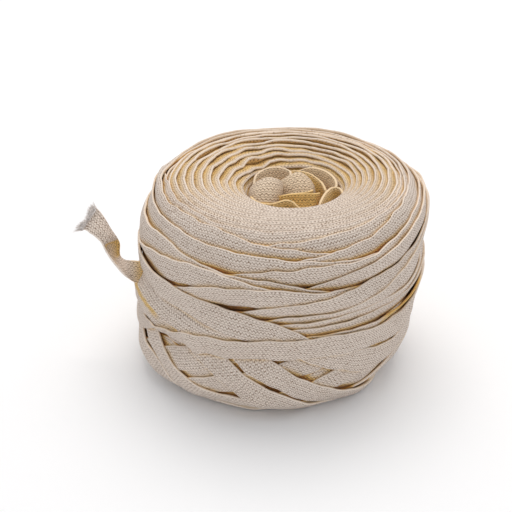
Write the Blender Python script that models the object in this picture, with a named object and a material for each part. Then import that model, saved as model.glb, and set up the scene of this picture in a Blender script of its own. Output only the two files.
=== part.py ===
"""Roll of cotton twill tape, wound into a drum-shaped cake, with a loose end at its left side.

Two objects: roll_body, the wound form with its main turns, crossings, crown rings and the crumpled
folds in its hollow, and loose_end, the free end of the tape. Sizes are in millimetres here and the
meshes are made in metres. The roll stands on a flat spot at Z = 0, with +Z up. A bearing is measured
round the roll from the front, which faces -Y: 90 is the right side, at +X, and -90 the left. A height
on the roll's skin is measured along its outline, from the rim of the flat spot, up the side and
over the crown, so it is called a climb.
"""

import math

import bpy
import numpy as np

MM = 0.001

# The tape.
TAPE_WIDTH = 11.0
TAPE_THICK = 1.1

# The roll's outline, from the rim of the flat spot to the bottom of the hollow's wall. The shift is how
# far that ring lies to the right of the middle of the flat spot, because the real cake leans a little.
# Columns: z, radius, shift.
FLAT_SPOT_RADIUS = 44.0
OUTLINE = (
    (0.0, FLAT_SPOT_RADIUS, 1.0),
    (0.6, 50.0, 0.0),
    (3.0, 56.0, -2.5),
    (7.0, 60.5, -4.5),
    (13.0, 64.0, -4.0),
    (24.0, 66.0, -2.5),
    (38.0, 66.3, -1.3),
    (51.0, 66.5, 0.3),
    (63.0, 67.0, 1.0),
    (74.0, 66.2, 1.8),
    (82.0, 64.2, 3.5),
    (88.0, 61.2, 4.0),
    (92.0, 56.5, 3.2),
    (94.0, 50.0, 2.5),
    (94.2, 42.0, 3.0),
    (93.0, 34.0, 4.2),
    (91.2, 28.5, 5.4),
    (88.5, 23.5, 6.4),
    (84.0, 21.5, 6.5),
    (79.0, 20.5, 6.5),
)
HOLLOW_CENTRE = (6.5, 0.0)
STEPS_PER_OUTLINE_ROW = 10

# The turns that show on the side, in the order in which they were wound. A row is one turn, and its
# columns are the climb of the tape's upper edge at each bearing. The end of a turn is the start
# of the next. The first rows cross steeply and show only in the lowest third, and the level turns
# that follow work down from the crown, each one over the turn above it.
BEARINGS = (-90, -60, -30, 0, 30, 60, 90, 135, 180, 225)
TURNS = (
    (6, 8, 14, 28, 41, 52, 58, 50, 30, 14),
    (20, 25, 38, 53, 64, 70, 66, 50, 36, 24),
    (14, 18, 31, 45, 56, 62, 58, 42, 28, 20),
    (26, 34, 50, 62, 70, 74, 70, 58, 44, 26),
    (12, 6, 4, 6, 10, 18, 28, 34, 30, 28),
    (30, 22, 14, 12, 19, 30, 42, 52, 50, 46),
    (44, 32, 16, 10, 6, 4, 6, 18, 34, 50),
    (60, 46, 28, 24, 18, 12, 14, 30, 50, 62),
    (68, 64, 54, 32, 12, 2, -2, 8, 32, 66),
    (89, 83, 68, 47, 26, 11, 5, 17, 47, 84),
    (110, 112, 111, 111, 112, 112, 112, 112, 112, 110),
    (107, 108, 106, 106, 109, 108, 108, 109, 109, 107),
    (104, 103, 103, 101, 102, 105, 105, 105, 104, 103),
    (101, 99, 98, 99, 99, 101, 101, 100, 100, 99),
    (98, 97, 95, 94, 95, 100, 98, 96, 95, 90),
    (84, 80, 81, 85, 90, 98, 95, 90, 92, 96),
    (99, 94, 90, 87, 80, 76, 78, 86, 88, 85),
    (83, 81, 82, 85, 83, 86, 90, 84, 82, 78),
    (73, 70, 71, 77, 81, 86, 87, 80, 76, 68),
    (60, 55, 54, 59, 67, 79, 84, 76, 70, 64),
    (60, 54, 52, 56, 62, 72, 76, 70, 66, 72),
    (80, 77, 74, 67, 49, 43, 54, 62, 60, 52),
    (48, 50, 57, 60, 58, 55, 64, 60, 54, 50),
)

# The grid on which the turns are laid, and how far a turn bridges the steps below it.
COLUMNS_AROUND = 360
LOWEST_CLIMB = -24.0
HIGHEST_CLIMB = 124.0
CLIMB_STEP = 0.5
SAMPLES_ACROSS = 12
BRIDGE_DEGREES = 4
BRIDGE_ACROSS = 2
AVERAGE_DEGREES = 20
AVERAGE_ACROSS = 20

# The solid's own grid: rows up the side, then a ridge and a valley for each ring on the crown.
FACETS_AROUND = 80
SIDE_ROWS = 44
CROWN_START = 110.0
CROWN_END = 138.0
RING_PITCH = 3.5
GROOVE_BACK = 1.9
GROOVE_FRONT = 0.3
BASE_BLEND = 7.0

# The crumpled folds in the hollow: the middle of each, the height of its top, its half length and
# half width, and the direction of its length in degrees.
# Columns: x, y, top, half length, half width, direction.
HOLLOW_FLOOR = 80.0
HOLLOW_RINGS = (19.0, 16.0, 13.0, 10.0, 7.0, 3.5)
FOLDS = (
    (-5.0, -6.0, 89.0, 11.0, 8.0, 75.0),
    (8.0, 6.0, 89.0, 12.0, 7.0, 5.0),
    (9.0, -11.0, 87.0, 11.0, 5.0, 0.0),
    (20.0, -5.0, 88.5, 8.0, 5.0, 60.0),
)

# The loose end: the middle of the tape at each place along it, from the roll to the frayed cut,
# the way its width points there, and the tape's width there.
# Columns: x, y, z of the middle, x, y, z of the way, width.
LOOSE_END = (
    (-63.6, -21.6, 51.5, 0.02, 0.05, 1.00, 11.0),
    (-66.8, -20.0, 53.0, -0.05, 0.10, 1.00, 11.0),
    (-71.5, -18.5, 56.6, -0.15, 0.40, 0.90, 11.0),
    (-74.4, -17.5, 62.4, 0.35, 0.75, 0.60, 10.5),
    (-77.0, -16.0, 68.1, 0.75, 0.45, 0.40, 10.5),
    (-82.1, -13.0, 72.8, 0.60, 0.40, 0.65, 11.0),
    (-87.2, -10.0, 77.4, 0.50, 0.10, 0.85, 13.5),
)
LOOSE_STEPS_PER_ROW = 5
LOOSE_ACROSS = 4


def smooth_through(rows, steps):
    """Points on a smooth curve through all rows, steps to a row: a cubic whose slope at each row
    is half the difference of its neighbours."""
    rows = np.asarray(rows, float)
    before = 2 * rows[:1] - rows[1:2]
    after = 2 * rows[-1:] - rows[-2:-1]
    padded = np.concatenate([before, rows, after])
    share = np.linspace(0, 1, steps, endpoint=False)[:, None]
    start_weight = 2 * share**3 - 3 * share**2 + 1
    points = []
    for index in range(1, len(rows)):
        slope_here = (padded[index + 1] - padded[index - 1]) / 2
        slope_next = (padded[index + 2] - padded[index]) / 2
        points.append(
            start_weight * padded[index]
            + (1 - start_weight) * padded[index + 1]
            + (share**3 - 2 * share**2 + share) * slope_here
            + (share**3 - share**2) * slope_next
        )
    points.append(rows[-1:])
    return np.concatenate(points)


OUTLINE_CURVE = smooth_through(OUTLINE, STEPS_PER_OUTLINE_ROW)
CLIMBS = np.concatenate(
    [[0.0], np.cumsum(np.hypot(*np.diff(OUTLINE_CURVE[:, :2], axis=0).T))]
)


def outline_at(climb):
    """Height, radius and shift of the outline at a climb, one array each."""
    return [np.interp(climb, CLIMBS, OUTLINE_CURVE[:, column]) for column in range(3)]


def skin_point(bearing, climb, proud):
    """The point on the roll at a bearing in degrees and a climb, raised by proud along the normal."""
    height, radius, shift = outline_at(climb)
    above = outline_at(np.asarray(climb) + 1.0)
    below = outline_at(np.asarray(climb) - 1.0)
    rise, spread = above[0] - below[0], above[1] - below[1]
    length = np.hypot(rise, spread)
    out, up = rise / length, -spread / length
    turn = np.radians(bearing)
    reach = radius + proud * out
    x = reach * np.sin(turn) + shift
    y = -reach * np.cos(turn)
    z = np.maximum(height + proud * up, 0.0)
    return np.stack(np.broadcast_arrays(x, y, z), -1)


def tape_edges():
    """The climb of the upper edge for each degree of the whole winding, turn after turn."""
    stations = [row[column] for row in TURNS for column in range(len(BEARINGS))]
    degrees = [
        360 * turn + bearing for turn in range(len(TURNS)) for bearing in BEARINGS
    ]
    stations.append(stations[-1])
    degrees.append(360 * len(TURNS) + BEARINGS[0])
    slopes = np.gradient(stations, degrees)
    wanted = np.arange(BEARINGS[0], degrees[-1])
    index = np.clip(np.searchsorted(degrees, wanted, "right") - 1, 0, len(degrees) - 2)
    degrees, stations = np.array(degrees, float), np.array(stations, float)
    span = degrees[index + 1] - degrees[index]
    share = (wanted - degrees[index]) / span
    start_weight = 2 * share**3 - 3 * share**2 + 1
    return (
        start_weight * stations[index]
        + (1 - start_weight) * stations[index + 1]
        + (share**3 - 2 * share**2 + share) * span * slopes[index]
        + (share**3 - share**2) * span * slopes[index + 1]
    )


def running(values, reach, axis, rule, around):
    """A rule, such as the mean, over the neighbours within reach along an axis."""
    shifted = []
    for step in range(-reach, reach + 1):
        moved = np.roll(values, step, axis)
        if not around and step:
            edge = np.arange(values.shape[axis]) - step
            moved = np.take(values, np.clip(edge, 0, values.shape[axis] - 1), axis)
        shifted.append(moved)
    return rule(shifted, axis=0)


def bridged(ground):
    """How the tape lies on the ground below it: stretched over its hollows, and eased at its steps."""
    high = running(ground, BRIDGE_DEGREES, 0, np.max, False)
    closed = running(high, BRIDGE_DEGREES, 0, np.min, False)
    high = running(closed, BRIDGE_ACROSS, 1, np.max, False)
    closed = running(high, BRIDGE_ACROSS, 1, np.min, False)
    eased = running(closed, BRIDGE_DEGREES // 2, 0, np.mean, False)
    eased = running(eased, 1, 1, np.mean, False)
    return np.maximum(eased, ground)


def laid_relief():
    """How proud each place of the side is once all turns are laid, about a level mean."""
    climbs = np.arange(LOWEST_CLIMB, HIGHEST_CLIMB, CLIMB_STEP)
    relief = np.zeros((COLUMNS_AROUND, len(climbs)))
    edges = tape_edges()
    radius = outline_at(np.clip(edges - TAPE_WIDTH / 2, 0, None))[1]
    slant = np.gradient(edges) / (np.radians(1.0) * radius)
    widths = TAPE_WIDTH * np.hypot(1.0, slant)
    shares = (np.arange(SAMPLES_ACROSS) + 0.5) / SAMPLES_ACROSS
    for first in range(0, len(edges), COLUMNS_AROUND):
        upper = edges[first : first + COLUMNS_AROUND]
        width = widths[first : first + COLUMNS_AROUND]
        columns = (np.arange(len(upper)) + BEARINGS[0]) % COLUMNS_AROUND
        places = upper[:, None] - shares * width[:, None]
        rows = ((places - LOWEST_CLIMB) / CLIMB_STEP).astype(int)
        top = bridged(relief[columns[:, None], rows]) + TAPE_THICK
        for column, high, wide, tops in zip(columns, upper, width, top):
            inside = (climbs <= high) & (climbs >= high - wide)
            share = (high - climbs[inside]) / wide
            relief[column, inside] = np.interp(share, shares, tops)
    mean = running(relief, AVERAGE_DEGREES, 0, np.mean, True)
    mean = running(mean, AVERAGE_ACROSS, 1, np.mean, False)
    return climbs, relief - mean


def side_relief(bearings, climb, laid):
    """The relief of the side at all bearings for one climb, easing out at the base and the crown."""
    climbs, relief = laid
    near = np.abs(climbs - climb) <= 0.8
    ring = relief[:, near].mean(axis=1)
    ring = running(ring[:, None], 1, 0, np.mean, True)[:, 0]
    ease = np.clip(climb / BASE_BLEND, 0, 1) * np.clip((CROWN_START + 6 - climb) / 6, 0, 1)
    return ease * ring[bearings.astype(int) % COLUMNS_AROUND]


def groove_depth(bearings):
    """The depth of the grooves between crown rings: they gape at the back and close at the front."""
    back = 0.5 - 0.5 * np.cos(np.radians(bearings))
    return GROOVE_FRONT + (GROOVE_BACK - GROOVE_FRONT) * back


def fold_height(x, y):
    """Height of the hollow's floor at x, y, with the crumpled folds standing on it."""
    height = HOLLOW_FLOOR
    for fold_x, fold_y, top, half_length, half_width, direction in FOLDS:
        turn = math.radians(direction)
        along = (x - fold_x) * math.cos(turn) + (y - fold_y) * math.sin(turn)
        across = (y - fold_y) * math.cos(turn) - (x - fold_x) * math.sin(turn)
        far = (along / half_length) ** 2 + (across / half_width) ** 2
        height = max(height, HOLLOW_FLOOR + (top - HOLLOW_FLOOR) * math.exp(-far))
    return height


def body_rings():
    """All rings of points of the roll, from the rim of the flat spot to the middle of the hollow."""
    laid = laid_relief()
    bearings = np.arange(FACETS_AROUND) * 360.0 / FACETS_AROUND
    rings = [skin_point(bearings, 0.0, 0.0)]
    for climb in np.linspace(0, CROWN_START, SIDE_ROWS + 1)[1:]:
        rings.append(skin_point(bearings, climb, side_relief(bearings, climb, laid)))
    for ring in range(int((CROWN_END - CROWN_START) / RING_PITCH)):
        ridge = CROWN_START + (ring + 0.5) * RING_PITCH
        valley = ridge + 0.45 * RING_PITCH
        rings.append(skin_point(bearings, ridge, 0.0))
        rings.append(skin_point(bearings, valley, -groove_depth(bearings)))
    rings.append(skin_point(bearings, CROWN_END + 2.0, 0.0))
    rings.append(skin_point(bearings, CLIMBS[-1] - 4.0, 0.0))
    for radius in HOLLOW_RINGS:
        x = HOLLOW_CENTRE[0] + radius * np.sin(np.radians(bearings))
        y = HOLLOW_CENTRE[1] - radius * np.cos(np.radians(bearings))
        z = np.array([fold_height(*place) for place in zip(x, y)])
        rings.append(np.stack([x, y, z], -1))
    return rings


def build_roll_body():
    """The roll as one closed solid: its rings joined, closed by the flat spot and the hollow's middle."""
    rings = body_rings()
    count = FACETS_AROUND
    points = np.concatenate(rings)
    base = (OUTLINE[0][2], 0.0, 0.0)
    middle = (*HOLLOW_CENTRE, fold_height(*HOLLOW_CENTRE))
    faces = []
    for ring in range(len(rings) - 1):
        for side in range(count):
            beside = (side + 1) % count
            low, high = ring * count, (ring + 1) * count
            faces.append((low + side, low + beside, high + beside, high + side))
    last = (len(rings) - 1) * count
    for side in range(count):
        beside = (side + 1) % count
        faces.append((beside, side, len(points)))
        faces.append((last + side, last + beside, len(points) + 1))
    return mesh_object("roll_body", np.vstack([points, base, middle]), faces)


def build_loose_end():
    """The free end of the tape as a closed strip that turns over once on its way to the frayed cut."""
    stations = smooth_through(LOOSE_END, LOOSE_STEPS_PER_ROW)
    middle, way, width = stations[:, :3], stations[:, 3:6], stations[:, 6]
    way = way / np.linalg.norm(way, axis=1)[:, None]
    ahead = np.gradient(middle, axis=0)
    normal = np.cross(ahead, way)
    normal = normal / np.linalg.norm(normal, axis=1)[:, None]
    shares = np.linspace(-0.5, 0.5, LOOSE_ACROSS + 1)
    across = way[:, None] * (shares[:, None] * width[:, None, None])
    lift = normal[:, None] * (TAPE_THICK / 2)
    front = middle[:, None] + across + lift
    back = (middle[:, None] + across - lift)[:, ::-1]
    loops = np.concatenate([front, back], axis=1)
    size = loops.shape[1]
    faces = []
    for row in range(len(loops) - 1):
        for side in range(size):
            beside = (side + 1) % size
            low, high = row * size, (row + 1) * size
            faces.append((low + beside, low + side, high + side, high + beside))
    faces.append(tuple(range(size)))
    faces.append(tuple((len(loops) - 1) * size + side for side in reversed(range(size))))
    return mesh_object("loose_end", loops.reshape(-1, 3), faces)


def mesh_object(name, points, faces):
    """A mesh object of this name in the scene, from points in millimetres."""
    mesh = bpy.data.meshes.new(name)
    mesh.from_pydata((points * MM).tolist(), [], faces)
    mesh.validate()
    mesh.update()
    mesh.shade_smooth()
    thing = bpy.data.objects.new(name, mesh)
    bpy.context.scene.collection.objects.link(thing)
    return thing


def cotton():
    """Undyed cotton: a pale cream that scatters light evenly."""
    material = bpy.data.materials.new("cotton")
    material.use_nodes = True
    shader = material.node_tree.nodes["Principled BSDF"]
    shader.inputs["Base Color"].default_value = (0.80, 0.68, 0.50, 1.0)
    shader.inputs["Roughness"].default_value = 0.95
    shader.inputs["Metallic"].default_value = 0.0
    return material


def main():
    for old in list(bpy.data.objects):
        bpy.data.objects.remove(old)
    material = cotton()
    for thing in (build_roll_body(), build_loose_end()):
        thing.data.materials.append(material)


main()
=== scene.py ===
"""Roll of cotton twill tape: the looks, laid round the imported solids.

Everything that shows is tape. The roll's skin is a surface of two parameters, a bearing round the roll
and a climb up its outline, and each turn of the tape is a ribbon laid on that skin in winding order:
it rests on whatever lies below it, bridges the hollows there and covers what it crosses. The crown's
rings are one spiral of the same tape, leaning inwards leaf over leaf, and the hollow holds a few
crumpled folds. Sizes are in millimetres until a mesh is made.
"""

import math

import bpy
import numpy as np
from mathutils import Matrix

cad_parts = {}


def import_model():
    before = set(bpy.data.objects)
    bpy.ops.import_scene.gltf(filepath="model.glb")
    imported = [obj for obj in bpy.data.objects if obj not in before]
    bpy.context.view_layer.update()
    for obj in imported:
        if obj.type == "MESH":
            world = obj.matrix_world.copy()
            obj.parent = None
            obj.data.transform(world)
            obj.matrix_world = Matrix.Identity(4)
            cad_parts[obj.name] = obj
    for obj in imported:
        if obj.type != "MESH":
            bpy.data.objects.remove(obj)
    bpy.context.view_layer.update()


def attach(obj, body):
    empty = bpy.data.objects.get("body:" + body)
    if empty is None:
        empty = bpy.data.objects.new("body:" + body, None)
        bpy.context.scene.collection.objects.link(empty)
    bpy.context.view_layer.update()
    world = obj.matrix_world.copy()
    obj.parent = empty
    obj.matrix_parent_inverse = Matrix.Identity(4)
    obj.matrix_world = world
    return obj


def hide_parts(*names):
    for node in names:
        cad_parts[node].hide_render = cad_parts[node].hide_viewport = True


MM = 0.001
TAPE_WIDTH = 11.0
TAPE_THICK = 1.1
FLOOR_GAP = 0.05

# The roll's outline: height, radius and the ring's shift to the right, from the middle of the base
# out to the flat spot's rim, up the side, over the crown and down the hollow's wall.
OUTLINE = (
    (0.0, 44.0, 1.0),
    (0.6, 50.0, 0.0),
    (3.0, 56.0, -2.5),
    (7.0, 60.5, -4.5),
    (13.0, 64.0, -4.0),
    (24.0, 66.0, -2.5),
    (38.0, 66.3, -1.3),
    (51.0, 66.5, 0.3),
    (63.0, 67.0, 1.0),
    (74.0, 66.2, 1.8),
    (82.0, 64.2, 3.5),
    (88.0, 61.2, 4.0),
    (92.0, 56.5, 3.2),
    (94.0, 50.0, 2.5),
    (94.2, 42.0, 3.0),
    (93.0, 34.0, 4.2),
    (91.2, 28.5, 5.4),
    (88.5, 23.5, 6.4),
    (84.0, 21.5, 6.5),
    (79.0, 20.5, 6.5),
)
STEPS_PER_OUTLINE_ROW = 10

# Turns of tape on the side, in winding order: the climb of the upper edge at each bearing.
BEARINGS = (-90, -60, -30, 0, 30, 60, 90, 135, 180, 225)
TURNS = (
    (-26, -27, -28, -27, -26, -25, -26, -27, -28, -24),
    (-18, -19, -18, -17, -18, -19, -18, -17, -18, -14),
    (-8, -9, -10, -9, -8, -8, -9, -10, -9, -4),
    (2, 1, 0, 1, 2, 1, 0, 1, 3, 7),
    (10, 11, 12, 12, 11, 12, 13, 12, 13, 17),
    (20, 21, 23, 22, 21, 22, 24, 23, 22, 27),
    (30, 32, 33, 31, 31, 33, 34, 32, 33, 38),
    (41, 42, 44, 43, 41, 43, 45, 44, 43, 48),
    (52, 54, 55, 53, 52, 54, 56, 55, 54, 59),
    (63, 65, 66, 64, 62, 65, 67, 66, 65, 70),
    (74, 77, 78, 75, 74, 77, 79, 77, 76, 80),
    (86, 88, 88, 87, 86, 86, 84, 60, 30, 8),
    (6, 8, 14, 28, 41, 52, 58, 50, 30, 14),
    (20, 25, 38, 53, 64, 70, 66, 50, 36, 24),
    (14, 20, 33, 46, 56, 62, 58, 42, 28, 20),
    (26, 36, 50, 62, 70, 74, 70, 58, 44, 26),
    (12, 6, 4, 6, 10, 18, 28, 34, 30, 28),
    (30, 22, 14, 12, 19, 30, 42, 52, 50, 46),
    (44, 32, 16, 10, 6, 4, 6, 18, 34, 50),
    (60, 46, 28, 24, 18, 12, 14, 30, 50, 62),
    (68, 64, 54, 32, 12, 2, -2, 8, 32, 66),
    (89, 83, 68, 47, 26, 11, 5, 17, 47, 84),
    (110, 112, 111, 111, 112, 112, 112, 112, 112, 110),
    (106, 104, 101, 105.5, 108, 110, 111, 110, 109, 108),
    (108, 108, 107.5, 102.5, 98, 98, 100, 100, 100, 98),
    (95, 95, 96, 97.5, 102, 108, 109, 106, 103, 101),
    (100, 101, 100, 98, 95.5, 94, 95, 97, 97, 92),
    (86, 86, 88.5, 94, 95, 101, 104, 101, 96, 88),
    (82, 82, 80, 83, 90.5, 98, 101, 98, 94, 92),
    (92, 94, 90.5, 87.5, 79, 77, 80, 82, 83, 80),
    (79, 86, 90, 84, 76, 70, 72, 74, 70, 64),
    (60, 68, 82, 85, 81, 76, 76, 76, 70, 62),
    (58, 58, 66, 77, 82, 86, 98, 95, 84, 70),
    (62, 60, 62, 70, 73, 83, 95, 90, 80, 68),
    (62, 60, 62, 67, 69.5, 72, 84, 82, 74, 66),
    (61, 60, 60, 64, 65.5, 67, 74, 74, 76, 76),
    (74, 69, 63.5, 61, 60, 62, 68, 72, 76, 80),
    (80, 77, 74, 67, 49, 43, 54, 60, 56, 50),
    (48, 48, 57.5, 60, 59.5, 54.5, 66, 62, 54, 50),
)

# Where the tape ends, beside the root of the loose end: the bearing and the climb of its upper edge.
END_BEARING = 270
END_CLIMB = 62.0

# The objects that the turns make: a name, its first turn, the turn after its last, and how many of
# the grid's columns there are to each of its own.
GROUPS = (
    ("bed_turns", 0, 12, 2),
    ("crossing_turns", 12, 22, 1),
    ("upper_turns", 22, 31, 1),
    ("outer_turns", 31, 39, 1),
)

# Where a turn's lower edge is tucked under: the turn, then bearings and the share of width that shows.
TUCKS = (
    (38, (-90, -70, -58, -44, -32, 225), (1.0, 0.75, 0.36, 0.42, 1.0, 1.0)),
    (36, (-90, 34, 44, 60, 72, 225), (1.0, 1.0, 0.35, 0.3, 0.9, 1.0)),
    (35, (-90, 34, 44, 60, 72, 225), (1.0, 1.0, 0.62, 0.6, 0.9, 1.0)),
)

# Where a turn stands off the skin: the turn, then bearings and the height of its stand-off. The tape's
# last few centimetres sink under their neighbours.
STAND_OFFS = (
    (38, (-90, 185, 225, 268), (0.0, 0.0, -0.5, -2.2)),
    (37, (-90, -80, -62, -46, -34, 225), (0.0, 0.2, 0.8, 0.3, 0.0, 0.0)),
    (36, (-90, 22, 36, 62, 78, 225), (0.0, 0.0, 0.7, 0.8, 0.0, 0.0)),
    (35, (-90, 10, 34, 95, 120, 225), (0.0, 0.0, -0.5, -0.5, 0.0, 0.0)),
    (34, (-90, 10, 30, 95, 120, 225), (0.0, 0.0, -0.6, -0.6, 0.0, 0.0)),
    (33, (-90, 10, 30, 95, 120, 225), (0.0, 0.0, -0.6, -0.6, 0.0, 0.0)),
)

# Where shade in a gap between outer turns is painted golden into the tape: bearing and climb at
# either end, half the gap's height, and the first turn that lies over it.
PAINTED_SHADE_GAPS = (
    (40.0, 57.6, 78.0, 63.7, 1.9, 37),
    (-86.0, 60.0, -52.0, 54.0, 1.6, 37),
)

# The grid of places on the skin: columns round the roll, rows of climb, and places across a turn.
COLUMNS = 480
DEGREES = 360 / COLUMNS
LOWEST = -42.0
HIGHEST = 124.0
ROW = 0.4
ACROSS = 17

# How a laid turn eases over what is below it: the columns that it spans each way, a column's length,
# the bend that it follows, its sag across, how far high places press into it, and how many columns
# beyond the stretch being laid are looked at.
SPAN = 13
COLUMN_LENGTH = 0.86
BEND_RADIUS = 66.0
SAG = 0.12
PRESSED_IN = 0.2
OVERLAP = 24

# The bed under the crown's edge: its height, the climb where it starts, and the climb that it takes.
CROWN_BED = 1.3
CROWN_BED_START = 98.0
CROWN_BED_RISE = 10.0

# How far the tape wanders, each with the length of its waves: its edge in long and short ones, its
# width, and the lift of its upper edge.
WOBBLE_SINES = 7
EDGE_WANDER = (0.28, 26.0)
EDGE_RIPPLE = (0.10, 7.0)
WIDTH_WANDER = (0.02, 40.0)
LIFT = 0.45
LIFT_WANDER = (0.25, 30.0)
LIFT_LIMITS = (0.05, 0.9)

# The least radius by which a turn's slope is reckoned, under the base.
LEAST_RADIUS = 12.0

# The map's two running means, columns and rows each way: the level of the skin, and the tape near by.
LEVEL_REACH = (26, 24)
NEAR_REACH = (3, 5)


def eased(share):
    """A share held between 0 and 1, with no slope at either end: 3 s squared less 2 s cubed."""
    share = np.clip(share, 0.0, 1.0)
    return share * share * (3.0 - 2.0 * share)


def through(rows, steps):
    """A smooth curve through all rows, steps to a row: the cubic whose slope at each row is half the
    difference of its neighbours."""
    rows = np.asarray(rows, float)
    padded = np.concatenate([2 * rows[:1] - rows[1:2], rows, 2 * rows[-1:] - rows[-2:-1]])
    share = np.linspace(0, 1, steps, endpoint=False)[None, :, None]
    here, there = padded[1:-2, None], padded[2:-1, None]
    slope_here = (padded[2:-1] - padded[:-3])[:, None] / 2
    slope_there = (padded[3:] - padded[1:-2])[:, None] / 2
    weight = 2 * share**3 - 3 * share**2 + 1
    curve = (
        weight * here
        + (1 - weight) * there
        + (share**3 - 2 * share**2 + share) * slope_here
        + (share**3 - share**2) * slope_there
    )
    return np.concatenate([curve.reshape(-1, rows.shape[1]), rows[-1:]])


def through_stations(wanted, degrees, heights):
    """The same cubic through heights at uneven stations: each slope is the mean of its two spans'."""
    degrees, heights = np.asarray(degrees, float), np.asarray(heights, float)
    slopes = np.gradient(heights, degrees)
    index = np.clip(np.searchsorted(degrees, wanted, "right") - 1, 0, len(degrees) - 2)
    span = degrees[index + 1] - degrees[index]
    share = (wanted - degrees[index]) / span
    weight = 2 * share**3 - 3 * share**2 + 1
    return (
        weight * heights[index]
        + (1 - weight) * heights[index + 1]
        + (share**3 - 2 * share**2 + share) * span * slopes[index]
        + (share**3 - share**2) * span * slopes[index + 1]
    )


OUTLINE_CURVE = through(OUTLINE, STEPS_PER_OUTLINE_ROW)
CLIMBS = np.concatenate([[0.0], np.cumsum(np.hypot(*np.diff(OUTLINE_CURVE[:, :2], axis=0).T))])

# How far the base is held up, and the climb over which that fades.
BASE_RISE = 1.5
BASE_BLEND = 8.0


def outline_at(climb):
    """Height, radius and shift at a climb. Under the base the radius falls by the climb below zero,
    and the base itself is held up by about a tape's thickness, so that the proudest turns touch."""
    climb = np.asarray(climb, float)
    height = np.interp(climb, CLIMBS, OUTLINE_CURVE[:, 0])
    radius = np.interp(climb, CLIMBS, OUTLINE_CURVE[:, 1]) + np.minimum(climb, 0.0)
    shift = np.interp(climb, CLIMBS, OUTLINE_CURVE[:, 2])
    return height + BASE_RISE * eased(1 - climb / BASE_BLEND), radius, shift


def skin(bearing, climb, proud):
    """The point at a bearing in degrees and a climb, raised by proud along the outline's normal, which
    is its slope over two millimetres turned by a right angle."""
    height, radius, shift = outline_at(climb)
    above, below = outline_at(climb + 1.0), outline_at(climb - 1.0)
    rise, spread = above[0] - below[0], above[1] - below[1]
    length = np.hypot(rise, spread)
    reach = radius + proud * rise / length
    turn = np.radians(bearing)
    x = reach * np.sin(turn) + shift
    y = -reach * np.cos(turn)
    z = np.maximum(height - proud * spread / length, FLOOR_GAP)
    return np.stack(np.broadcast_arrays(x, y, z), -1)


def wobble(along, rng, size, wave):
    """A smooth random line of about the given size: a sum of sines, each with its own length between
    half and three times the given wave, and its own phase."""
    lengths = wave * rng.uniform(0.5, 3.0, WOBBLE_SINES)
    phases = rng.uniform(0, 2 * math.pi, WOBBLE_SINES)
    sines = np.sin(2 * math.pi * along[..., None] / lengths + phases)
    return size * (sines.sum(-1) / math.sqrt(WOBBLE_SINES / 2))


def running_mean(values, reach, axis, around=False):
    """The mean over the neighbours within reach along an axis, which may close round the roll."""
    width = [(0, 0)] * values.ndim
    width[axis] = (reach, reach)
    padded = np.pad(values, width, mode="wrap" if around else "edge")
    windows = np.lib.stride_tricks.sliding_window_view(padded, 2 * reach + 1, axis)
    return windows.mean(axis=-1)


def bridged(ground):
    """How a turn lies on the ground below it: taut between high places. Along the tape a place is the
    highest of all chords over it, up to a span each way, where a chord falls short of the round skin
    by the product of its two parts over twice the radius. Across, it is the highest chord between any
    two places of the width, less the sag times the chord's two shares. Short means round both."""
    taut = ground.copy()
    padded = np.pad(ground, ((SPAN, SPAN), (0, 0)), mode="edge")
    count = len(ground)
    for back in range(1, SPAN + 1, 2):
        behind = padded[SPAN - back : SPAN - back + count]
        for on in range(1, SPAN + 1, 2):
            ahead = padded[SPAN + on : SPAN + on + count]
            drop = back * on * COLUMN_LENGTH**2 / (2 * BEND_RADIUS)
            taut = np.maximum(taut, (behind * on + ahead * back) / (back + on) - drop)
    across = taut.copy()
    for first in range(ACROSS - 1):
        for last in range(first + 2, ACROSS):
            share = np.arange(1, last - first) / (last - first)
            chord = taut[:, first : first + 1] * (1 - share) + taut[:, last : last + 1] * share
            inner = slice(first + 1, last)
            across[:, inner] = np.maximum(across[:, inner], chord - SAG * share * (1 - share))
    smooth = running_mean(running_mean(across, 3, 0), 1, 1)
    return np.maximum(running_mean(smooth, 2, 0), ground - PRESSED_IN)


def winding():
    """The whole tape on the side: bearings, the climb of its upper edge, and its slope against the
    level, one value for each column of each turn."""
    degrees = [360 * turn + b for turn in range(len(TURNS)) for b in BEARINGS]
    heights = [height for row in TURNS for height in row]
    end = 360 * (len(TURNS) - 1) + END_BEARING
    wanted = BEARINGS[0] + DEGREES * np.arange(COLUMNS * len(TURNS))
    upper = through_stations(wanted, degrees + [end], heights + [END_CLIMB])
    radius = outline_at(upper - TAPE_WIDTH / 2)[1]
    slant = np.gradient(upper) / (np.radians(DEGREES) * np.maximum(radius, LEAST_RADIUS))
    return wanted, upper, slant


def on_turn(turn, bearings, places, values):
    """A turn's own columns, and values given at some of its bearings, read between them."""
    own = slice(turn * COLUMNS, (turn + 1) * COLUMNS)
    return own, np.interp(bearings[own] - 360 * turn, places, values)


def worked_tape():
    """The tape before it is laid, by column: bearing, length so far, the climb of its upper edge, its
    width up the outline, its upper edge's lift and its stand-off. Width up the outline is the tape's
    own times the root of one plus the slope squared."""
    rng = np.random.default_rng(7)
    bearings, upper, slant = winding()
    radius = outline_at(upper - TAPE_WIDTH / 2)[1]
    along = np.cumsum(np.radians(DEGREES) * radius * np.hypot(1.0, slant))
    upper = upper + wobble(along, rng, *EDGE_WANDER) + wobble(along, rng, *EDGE_RIPPLE)
    width = TAPE_WIDTH * (1 + wobble(along, rng, *WIDTH_WANDER)) * np.hypot(1.0, slant)
    for turn, places, parts in TUCKS:
        own, part = on_turn(turn, bearings, places, parts)
        width[own] *= part
    lift = np.clip(LIFT + wobble(along, rng, *LIFT_WANDER), *LIFT_LIMITS)
    stand_off = np.zeros(len(upper))
    for turn, places, heights in STAND_OFFS:
        own, height = on_turn(turn, bearings, places, heights)
        stand_off[own] = height
    return bearings, along, upper, width, lift, stand_off


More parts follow.
